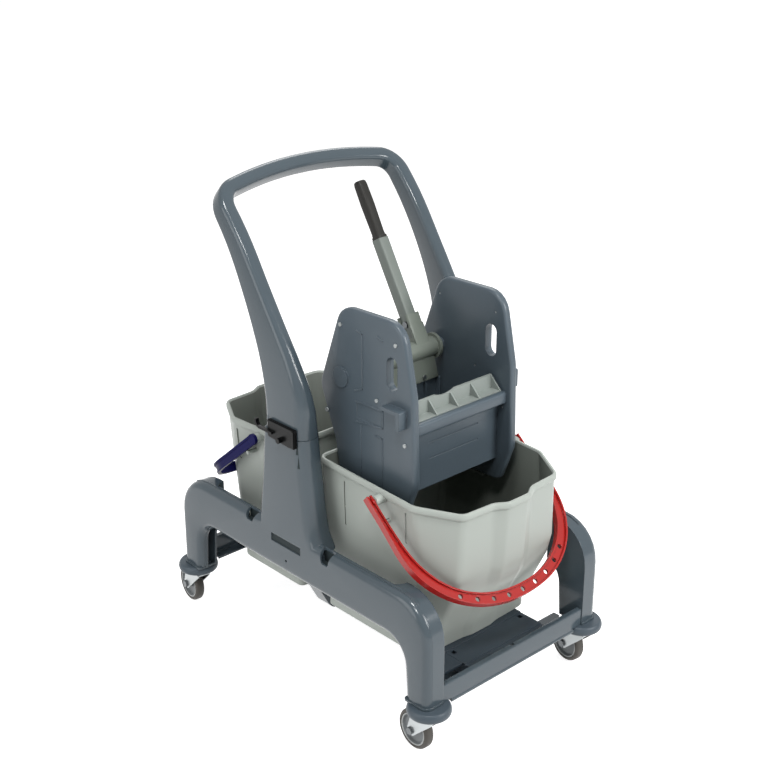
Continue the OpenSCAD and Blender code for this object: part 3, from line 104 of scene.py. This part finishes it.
# Finishes: colour, roughness, metal share, gloss, scale and strength of the grain, mottling, edge softness
finishes = {
    "mouldedSlate": {"colour": "#434e55", "rough": 0.15, "metal": 0, "gloss": 0.4,
        "grain": 900, "bump": 0.02, "mottle": 0.04, "edge": 0.0016},
    "panelSlate": {"colour": "#49545c", "rough": 0.34, "metal": 0, "gloss": 0.36,
        "grain": 900, "bump": 0.02, "mottle": 0.04, "edge": 0.0016},
    "bucketGrey": {"colour": "#a2a8a2", "rough": 0.4, "metal": 0, "gloss": 0.3,
        "grain": 700, "bump": 0.02, "mottle": 0.03, "edge": 0.0012},
    # painted shade: a darker copy of the bucket grey, for the faces within the buckets
    "bucketInsidePaintedShade": {"colour": "#6a6f69", "rough": 0.45, "metal": 0, "gloss": 0.25,
        "grain": 700, "bump": 0.02, "mottle": 0.05, "edge": 0.0012},
    # painted shade: a darker copy of the slate for the base plate under the buckets
    "plateShadedSlate": {"colour": "#2f3840", "rough": 0.24, "metal": 0, "gloss": 0.35,
        "grain": 900, "bump": 0.02, "mottle": 0.04, "edge": 0.0012},
    # painted shade: a dark slate for the recessed floors and the notches in the beams
    "recessPaintedShade": {"colour": "#2b3335", "rough": 0.6, "metal": 0, "gloss": 0.12,
        "grain": 900, "bump": 0.03, "mottle": 0.06, "edge": 0.0006},
    "bailRed": {"colour": "#9f1611", "rough": 0.24, "metal": 0, "gloss": 0.5,
        "grain": 600, "bump": 0.02, "mottle": 0.03, "edge": 0.0008},
    "bailBlue": {"colour": "#12124a", "rough": 0.34, "metal": 0, "gloss": 0.04,
        "grain": 600, "bump": 0.02, "mottle": 0.03, "edge": 0.0008},
    "jawGrey": {"colour": "#858c88", "rough": 0.42, "metal": 0, "gloss": 0.3,
        "grain": 800, "bump": 0.03, "mottle": 0.04, "edge": 0.001},
    "brightZinc": {"colour": "#a9adae", "rough": 0.34, "metal": 1, "gloss": 0.5,
        "grain": 500, "bump": 0.02, "mottle": 0.08, "edge": 0.0005},
    "darkSteel": {"colour": "#6e7173", "rough": 0.4, "metal": 1, "gloss": 0.5,
        "grain": 500, "bump": 0.02, "mottle": 0.08, "edge": 0.0004},
    "hubGrey": {"colour": "#70776f", "rough": 0.38, "metal": 0, "gloss": 0.3,
        "grain": 800, "bump": 0.03, "mottle": 0.05, "edge": 0.001},
    "leverPaint": {"colour": "#6c736e", "rough": 0.34, "metal": 0, "gloss": 0.35,
        "grain": 700, "bump": 0.02, "mottle": 0.04, "edge": 0.0008},
    "gripRubber": {"colour": "#1d1c19", "rough": 0.45, "metal": 0, "gloss": 0.24,
        "grain": 1500, "bump": 0.08, "mottle": 0.1, "edge": 0.0008},
    "clipBlack": {"colour": "#0a0b0c", "rough": 0.3, "metal": 0, "gloss": 0.15,
        "grain": 900, "bump": 0.04, "mottle": 0.05, "edge": 0.0006},
    "tyreGrey": {"colour": "#4b4844", "rough": 0.55, "metal": 0, "gloss": 0.3,
        "grain": 1200, "bump": 0.06, "mottle": 0.1, "edge": 0.0006},
    "wheelGrey": {"colour": "#7a7e80", "rough": 0.4, "metal": 0, "gloss": 0.3,
        "grain": 900, "bump": 0.03, "mottle": 0.05, "edge": 0.0006},
    "bumperRubber": {"colour": "#424c54", "rough": 0.42, "metal": 0, "gloss": 0.3,
        "grain": 1100, "bump": 0.04, "mottle": 0.05, "edge": 0.001},
    "screwWhite": {"colour": "#a3a8a8", "rough": 0.25, "metal": 0, "gloss": 0.5,
        "grain": 600, "bump": 0.01, "mottle": 0.02, "edge": 0.0004},
    "ringPale": {"colour": "#b9bcbb", "rough": 0.36, "metal": 0, "gloss": 0.4,
        "grain": 700, "bump": 0.02, "mottle": 0.04, "edge": 0.0003},
}

# What all finishes share: the clouds that vary shade and gloss, the fine grain, the softened edges
surface = {"cloudScale": 14.0, "cloudDetail": 4.0, "cloudMean": 0.5, "roughSwing": 0.1,
    "grainDetail": 3.0, "grainDepth": 0.0004, "edgeSamples": 4}


def finish(name):
    look = finishes[name]
    material = bpy.data.materials.new(name)
    material.use_nodes = True
    tree = material.node_tree
    sockets = tree.nodes["Principled BSDF"].inputs
    wire = Wire(tree)
    place = wire.node("ShaderNodeTexCoord", output="Object")
    grain = wire.node("ShaderNodeTexNoise", Vector=place, Scale=look["grain"], Detail=surface["grainDetail"])
    cloud = wire.node("ShaderNodeTexNoise", Vector=place, Scale=surface["cloudScale"],
        Detail=surface["cloudDetail"])
    shade = 1 + (cloud - surface["cloudMean"]) * look["mottle"]
    tint = wire.node("ShaderNodeMix", {"data_type": "RGBA", "blend_type": "MULTIPLY"}, output=2,
        _0=1.0, _6=linear(look["colour"]), _7=shade)  # factor and both colours
    plug(tree, sockets["Base Color"], tint)
    plug(tree, sockets["Roughness"], look["rough"] + (cloud - surface["cloudMean"]) * surface["roughSwing"])
    softEdge = wire.node("ShaderNodeBevel", {"samples": surface["edgeSamples"]}, Radius=look["edge"])
    plug(tree, sockets["Normal"], wire.node("ShaderNodeBump", Strength=look["bump"],
        Distance=surface["grainDepth"], Height=grain, Normal=softEdge))
    sockets["Metallic"].default_value = look["metal"]
    sockets["Specular IOR Level"].default_value = look["gloss"]
    return material


finishOf = {
    "mouldedSlate": [*sideFrames, "front_bar", "rear_bar", "centre_yoke", "push_handle"],
    "panelSlate": ["panel_near_outer", "panel_near_inner", "panel_far_inner", "panel_far_outer",
        "wringer_front", "wringer_rear", "moving_jaw"],
    # the base plate takes the slate darkened as painted shade
    "plateShadedSlate": ["base_plate"],
    "bucketGrey": ["front_bucket", "rear_bucket"],
    "bailRed": ["front_bail"],
    "bailBlue": ["rear_bail"],
    "jawGrey": ["drain_grid", "fixed_jaw"],
    "hubGrey": ["lever_hub"],
    "brightZinc": ["handle_screws", "caster_stems", "wringer_shaft", "jaw_screws"]
        + ["fork_" + corner for corner in corners],
    "darkSteel": ["lever_bolt"] + ["axle_" + corner for corner in corners],
    "leverPaint": ["lever_tube"],
    "gripRubber": ["lever_grip"],
    "clipBlack": ["tool_clip_near", "tool_clip_far"],
    "tyreGrey": ["tyre_" + corner for corner in corners],
    "wheelGrey": ["hub_" + corner for corner in corners],
    "bumperRubber": ["bumpers"],
    "screwWhite": ["panel_screws"],
}
made = {name: finish(name) for name in finishes}
materialOf = {node: made[name] for name, nodes in finishOf.items() for node in nodes}
print("finishes made:", len(made))

# Edges sharper than this stay hard, and points nearer than this are one
meshing = {"hardFrom": math.radians(35), "merge": 1e-6}


# A finished mesh becomes an object with one material, on one body
def addPiece(name, work, look, body):
    for face in work.faces:
        face.smooth = True
    for edge in work.edges:
        edge.smooth = edge.calc_face_angle(0) < meshing["hardFrom"]
    mesh = bpy.data.meshes.new(name)
    work.to_mesh(mesh)
    work.free()
    mesh.materials.append(look)
    piece = bpy.data.objects.new(name, mesh)
    scene.collection.objects.link(piece)
    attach(piece, body)
    return piece


# A merged copy of a node that stands for it
def softPiece(node):
    work = bmesh.new()
    work.from_mesh(frame["nodes"][node].data)
    bmesh.ops.remove_doubles(work, verts=work.verts, dist=meshing["merge"])
    piece = addPiece(node + "_shown", work, materialOf[node], nodeBody[node])
    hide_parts(node)
    return piece


shown = {node: softPiece(node) for node in sorted(nodeBody) if node != "front_bail"}
print("pieces shown:", len(shown))

# Painted shade within the buckets: faces between floor and rim that look at the bucket's middle in x, or up,
# take a darker copy of the bucket grey
insideShade = {"middles": {"front_bucket": 0.172, "rear_bucket": -0.203}, "floor": 0.132, "rim": 0.42,
    "facing": 0.15, "level": 0.9}
for node, middle in insideShade["middles"].items():
    mesh = shown[node].data
    mesh.materials.append(made["bucketInsidePaintedShade"])
    for face in mesh.polygons:
        height = face.center.z
        inward = (Vector((middle, 0, height)) - face.center).normalized()
        turned = face.normal.dot(inward) > insideShade["facing"] or face.normal.z > insideShade["level"]
        if turned and insideShade["floor"] < height < insideShade["rim"]:
            face.material_index = 1

# Painted shade: a dark slate on the recessed floor in each beam
recessShade = {"floor": 0.216, "slack": 0.0004, "ends": (-0.060, 0.022), "facing": 0.9}
for node, side in sideFrames.items():
    mesh = shown[node].data
    mesh.materials.append(made["recessPaintedShade"])
    for face in mesh.polygons:
        deep = abs(side * face.center.y - recessShade["floor"]) < recessShade["slack"]
        between = recessShade["ends"][0] < face.center.x < recessShade["ends"][1]
        if deep and between and side * face.normal.y > recessShade["facing"]:
            face.material_index = 1
print("insides and recesses darkened")

# Red bail: a flat band with raised edges and a row of holes, on the line of the solid's strip
band = {
    "pivot": (0.170, 0.416), "tilt": 40.7,  # x and z of the ears, degrees below level
    "tail": 0.011, "arm": 0.085, "bow": 0.158, "half": 0.1821, "round": 2.2,
    "armSteps": 30, "bowSteps": 240, "step": 0.008, "probe": 0.001,
    "armWidth": 0.011, "bowWidth": 0.021, "widensFrom": 0.03,
    "depth": 0.013, "drop": 0.0026, "rim": 0.003, "web": 0.0045,
    "holes": 9, "pitch": 0.033, "holeRadius": 0.0046, "cell": 0.0062, "cellRoom": 1.3,
    "pinRadius": 0.005, "pinIn": 0.167, "pinSides": 32,
}


# The band's middle line in its own plane, and the distance run at each point
def bandLine():
    reach = band["arm"] + band["tail"]
    arm = [(-band["tail"] + reach * k / band["armSteps"], -band["half"]) for k in range(band["armSteps"])]
    power = 2 / band["round"]
    bow = []
    for k in range(band["bowSteps"] + 1):
        turn = math.pi * (k / band["bowSteps"] - 0.5)
        bow.append((band["arm"] + band["bow"] * abs(math.cos(turn)) ** power,
            band["half"] * math.copysign(abs(math.sin(turn)) ** power, turn)))
    line = np.array(arm + bow + [(x, -y) for x, y in reversed(arm)])
    return line, np.append(0, np.cumsum(np.linalg.norm(np.diff(line, axis=0), axis=1)))


# From the band's plane to the trolley
def bandPlace(along, across, rise):
    tilt = math.radians(band["tilt"])
    rise -= band["drop"]
    x = band["pivot"][0] + along * math.cos(tilt) + rise * math.sin(tilt)
    return x, across, band["pivot"][1] - along * math.sin(tilt) + rise * math.cos(tilt)


# Point, direction, outward direction and half width where the line has run this far
def bandStation(line, run, far):
    def at(distance):
        return np.array([np.interp(distance, run, line[:, k]) for k in (0, 1)])

    spot = at(far)
    ahead = at(far + band["probe"]) - at(far - band["probe"])
    ahead /= np.linalg.norm(ahead)
    widened = band["arm"] + band["bow"] / 2
    share = min(1, max(0, (spot[0] - band["widensFrom"]) / (widened - band["widensFrom"])))
    share *= share * (3 - 2 * share)  # eased at both ends
    half = (band["armWidth"] + (band["bowWidth"] - band["armWidth"]) * share) / 2
    return spot, ahead, np.array((ahead[1], -ahead[0])), half


# Faces between two closed loops of as many points
def joinLoops(work, first, second):
    for k in range(len(first)):
        n = (k + 1) % len(first)
        work.faces.new((first[k], first[n], second[n], second[k]))


def makeBand():
    line, run = bandLine()
    length, cell = run[-1], band["cell"]
    centres = [length / 2 + (k - (band["holes"] - 1) / 2) * band["pitch"] for k in range(band["holes"])]
    stations = [far for far in np.linspace(0, length, round(length / band["step"]) + 1)
        if all(abs(far - centre) > cell * band["cellRoom"] for centre in centres)]
    stations += [centre + cell * k / 2 for centre in centres for k in (-2, -1, 0, 1, 2)]
    stations.sort()

    work = bmesh.new()
    rows = []
    high, low = band["depth"] / 2, band["web"] / 2
    for far in stations:
        spot, ahead, out, half = bandStation(line, run, far)
        inner = half - band["rim"]
        upper = [(half, high), (inner, high), (inner, low), (inner / 2, low), (0, low),
            (-inner / 2, low), (-inner, low), (-inner, high), (-half, high)]
        section = upper + [(wide, -rise) for wide, rise in reversed(upper)]
        rows.append([work.verts.new(bandPlace(*(spot + out * wide), rise)) for wide, rise in section])

    # skin between the rows, left open where the web has its holes
    around = len(rows[0])
    web = {2, 3, 4, 5, 11, 12, 13, 14}  # faces of the web, above and below
    starts = [min(range(len(stations)), key=lambda k: abs(stations[k] - centre)) - 2 for centre in centres]
    holed = {k for start in starts for k in range(start, start + 4)}
    for k in range(len(rows) - 1):
        for j in range(around):
            if k in holed and j in web:
                continue
            n = (j + 1) % around
            work.faces.new((rows[k][j], rows[k + 1][j], rows[k + 1][n], rows[k][n]))
    work.faces.new(rows[0])
    work.faces.new(rows[-1])

    # each hole: once round its opening as row and column, and a round rim with as many points
    border = [(0, j) for j in (2, 3, 4, 5, 6)] + [(k, 6) for k in (1, 2, 3)]
    border += [(4, j) for j in (6, 5, 4, 3, 2)] + [(k, 2) for k in (3, 2, 1)]
    for centre, start in zip(centres, starts):
        spot, ahead, out, half = bandStation(line, run, centre)
        rims = []
        for side in (1, -1):
            rim = []
            for k, j in border:
                turn = math.atan2((4 - j) / 2, (k - 2) / 2)
                place = spot + band["holeRadius"] * (ahead * math.cos(turn) + out * math.sin(turn))
                rim.append(work.verts.new(bandPlace(*place, side * low)))
            opening = [rows[start + k][j if side > 0 else around - 1 - j] for k, j in border]
            joinLoops(work, opening, rim)
            rims.append(rim)
        joinLoops(work, *rims)

    # pins that reach into the bucket's ears
    reach = band["half"] - band["pinIn"]
    for side in (-1, 1):
        spot = Vector((band["pivot"][0], side * (band["pinIn"] + reach / 2), band["pivot"][1]))
        bmesh.ops.create_cone(work, cap_ends=True, segments=band["pinSides"], radius1=band["pinRadius"],
            radius2=band["pinRadius"], depth=reach,
            matrix=Matrix.Translation(spot) @ Matrix.Rotation(math.pi / 2, 4, "X"))
    bmesh.ops.recalc_face_normals(work, faces=work.faces)
    return work


bail = addPiece("front_bail_shown", makeBand(), materialOf["front_bail"], nodeBody["front_bail"])
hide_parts("front_bail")
print("red bail shaped")

# Pale rings between tyre and hub on both faces of each wheel
ring = {"radius": 0.0285, "thick": 0.0012, "offset": 0.0077, "sides": 8, "steps": 48}
jointOf = {joint["child"]: joint for joint in behaviour["joints"]}
for corner in corners:
    roll = jointOf["wheel_" + corner]
    axis = Vector(roll["axis"]).normalized()
    work = bmesh.new()
    for side in (-1, 1):
        middle = Vector(roll["pos_m"]) + axis * (side * ring["offset"])
        loop = []
        for k in range(ring["sides"]):
            turn = 2 * math.pi * k / ring["sides"]
            out = Vector((0, 0, ring["radius"] + ring["thick"] * math.cos(turn)))
            loop.append(work.verts.new(middle + out + axis * (ring["thick"] * math.sin(turn))))
        edges = [work.edges.new(pair) for pair in zip(loop, loop[1:] + loop[:1])]
        bmesh.ops.spin(work, geom=loop + edges, cent=middle, axis=axis, angle=2 * math.pi,
            steps=ring["steps"], use_merge=True)
    bmesh.ops.recalc_face_normals(work, faces=work.faces)
    addPiece("wheel_rings_" + corner, work, made["ringPale"], "wheel_" + corner)
print("wheel rings made")


# A plain block from its low to its high corner, beside a node and on its body
def addBlock(name, low, high, look, node):
    low, high = Vector(low), Vector(high)
    work = bmesh.new()
    bmesh.ops.create_cube(work, size=1,
        matrix=Matrix.Translation((low + high) / 2) @ Matrix.Diagonal((*(high - low), 1)))
    addPiece(name, work, made[look], nodeBody[node])


# Wing of the front shelf beside the near leg, and a pan below the shelf's slots
shelf = {
    "shelf_wing": {"low": (0.266, -0.160, 0.1245), "high": (0.3085, -0.097, 0.1293)},
    "shelf_pan": {"low": (0.165, -0.094, 0.104), "high": (0.3085, 0.094, 0.106)},
}
for name, block in shelf.items():
    addBlock(name, block["low"], block["high"], "plateShadedSlate", "base_plate")

# Painted shade in the notches of both beams, as dark sheets at their back and floor: start and stop in x, and
# foot
notchShade = {"ends": {"rear": (-0.141, -0.103, 0.276), "front": (0.062, 0.110, 0.270)},
    "inner": 0.2006, "outer": 0.2155, "thick": 0.0016, "top": 0.2968}
for end, (start, stop, foot) in notchShade["ends"].items():
    reaches = {"back": (notchShade["inner"] + notchShade["thick"], notchShade["top"]),
        "floor": (notchShade["outer"], foot + notchShade["thick"])}
    for node, side in sideFrames.items():
        hand = node.split("_")[-1]
        for part, (reach, top) in reaches.items():
            y0, y1 = sorted((side * notchShade["inner"], side * reach))
            addBlock(f"notch_{end}_{part}_{hand}", (start, y0, foot), (stop, y1, top), "recessPaintedShade", node)
print("shelf and notches filled")

# Raised lines on the outer faces of the wringer panels, each from one point in x and z to the next
ridge = {"face": 0.126, "proud": 0.001, "sunk": 0.0006, "width": 0.0032, "overlap": 0.9,
    "edge": 0.0005, "edgeSteps": 2, "lines": [
        [(0.074, 0.683), (0.087, 0.679), (0.087, 0.580), (0.068, 0.572)],
        [(0.125, 0.686), (0.137, 0.681)],
        [(0.070, 0.5525), (0.1375, 0.5555), (0.1375, 0.5235), (0.071, 0.515)],
        [(0.0825, 0.510), (0.0825, 0.392)],
        [(0.120, 0.504), (0.1365, 0.504), (0.1365, 0.392)],
    ]}
work = bmesh.new()
for side in (-1, 1):
    level = side * (ridge["face"] + (ridge["proud"] - ridge["sunk"]) / 2)
    for line in ridge["lines"]:
        for (x0, z0), (x1, z1) in zip(line, line[1:]):
            reach = math.hypot(x1 - x0, z1 - z0) + ridge["width"] * ridge["overlap"]
            place = Matrix.Translation(((x0 + x1) / 2, level, (z0 + z1) / 2))
            turn = Matrix.Rotation(-math.atan2(z1 - z0, x1 - x0), 4, "Y")
            bar = Matrix.Diagonal((reach, ridge["proud"] + ridge["sunk"], ridge["width"], 1))
            bmesh.ops.create_cube(work, size=1, matrix=place @ turn @ bar)
bmesh.ops.bevel(work, geom=work.edges[:], offset=ridge["edge"], affect="EDGES",
    segments=ridge["edgeSteps"], profile=0.5, material=-1)
addPiece("panel_ridges", work, made["panelSlate"], nodeBody["panel_near_outer"])
print("panel lines raised")


# The turn of a camera or lamp that looks from a place at a target
def aimed(place, target):
    return (Vector(target) - Vector(place)).to_track_quat("-Z", "Y").to_euler()


# Camera as fitted to the photograph
camera = {"place": (1.7450, -1.6045, 1.5244), "target": (0.006, 0.0, 0.5408), "lens": 67.66,
    "sensor": 36, "shift": (-0.00697, -0.0025), "far": 100}
lensData = bpy.data.cameras.new("camera")
lensData.lens = camera["lens"]
lensData.sensor_width = camera["sensor"]
lensData.shift_x, lensData.shift_y = camera["shift"]
lensData.clip_end = camera["far"]
eye = bpy.data.objects.new("camera", lensData)
eye.location = camera["place"]
eye.rotation_euler = aimed(camera["place"], camera["target"])
scene.collection.objects.link(eye)
scene.camera = eye

# Studio: pale floor and white surroundings, as the camera and reflections see them
studio = {"floor": 20.0, "floorColour": 0.86, "floorRough": 0.9, "floorGloss": 0.1, "lift": 0.85, "sky": 0.16}


def seenRays(tree):
    outs = Wire(tree).node("ShaderNodeLightPath").socket.node.outputs
    direct, mirrored, through = [Wire(tree, outs["Is " + ray + " Ray"])
        for ray in ("Camera", "Glossy", "Transmission")]
    return direct + mirrored + through


work = bmesh.new()
bmesh.ops.create_grid(work, x_segments=1, y_segments=1, size=studio["floor"])
floorMesh = bpy.data.meshes.new("floor")
work.to_mesh(floorMesh)
work.free()
floor = bpy.data.objects.new("floor", floorMesh)
scene.collection.objects.link(floor)
floorLook = bpy.data.materials.new("paleFloor")
floorLook.use_nodes = True
floorTree = floorLook.node_tree
floorSockets = floorTree.nodes["Principled BSDF"].inputs
floorSockets["Base Color"].default_value = [studio["floorColour"]] * 3 + [1]
floorSockets["Roughness"].default_value = studio["floorRough"]
floorSockets["Specular IOR Level"].default_value = studio["floorGloss"]
floorSockets["Emission Color"].default_value = white
plug(floorTree, floorSockets["Emission Strength"], seenRays(floorTree) * studio["lift"])
floorMesh.materials.append(floorLook)

world = bpy.data.worlds.new("studio")
scene.world = world
world.use_nodes = True
skyTree = world.node_tree
skySockets = skyTree.nodes["Background"].inputs
skySockets["Color"].default_value = white
plug(skyTree, skySockets["Strength"], studio["sky"] + seenRays(skyTree) * (1 - studio["sky"]))

# Soft round lamps, all turned to the middle of the trolley
lampTarget = (0, 0, 0.45)
lamps = {
    "keyLamp": {"place": (2.3, 0.8, 1.7), "size": 1.2, "power": 54},
    "fillLamp": {"place": (-0.3, -2.1, 1.0), "size": 1.7, "power": 18},
    "backLamp": {"place": (-1.3, 1.5, 2.7), "size": 1.4, "power": 24},
    "spotAbove": {"place": (0.62, -0.60, 2.82), "size": 0.5, "power": 23},
    "spotFront": {"place": (1.32, -1.31, 2.64), "size": 0.5, "power": 23},
}
for name, lamp in lamps.items():
    light = bpy.data.lights.new(name, "AREA")
    light.shape = "DISK"
    light.size = lamp["size"]
    light.energy = lamp["power"]
    stand = bpy.data.objects.new(name, light)
    stand.location = lamp["place"]
    stand.rotation_euler = aimed(lamp["place"], lampTarget)
    scene.collection.objects.link(stand)
scene.view_settings.view_transform = "Standard"
print("studio set:", len(lamps), "lamps")
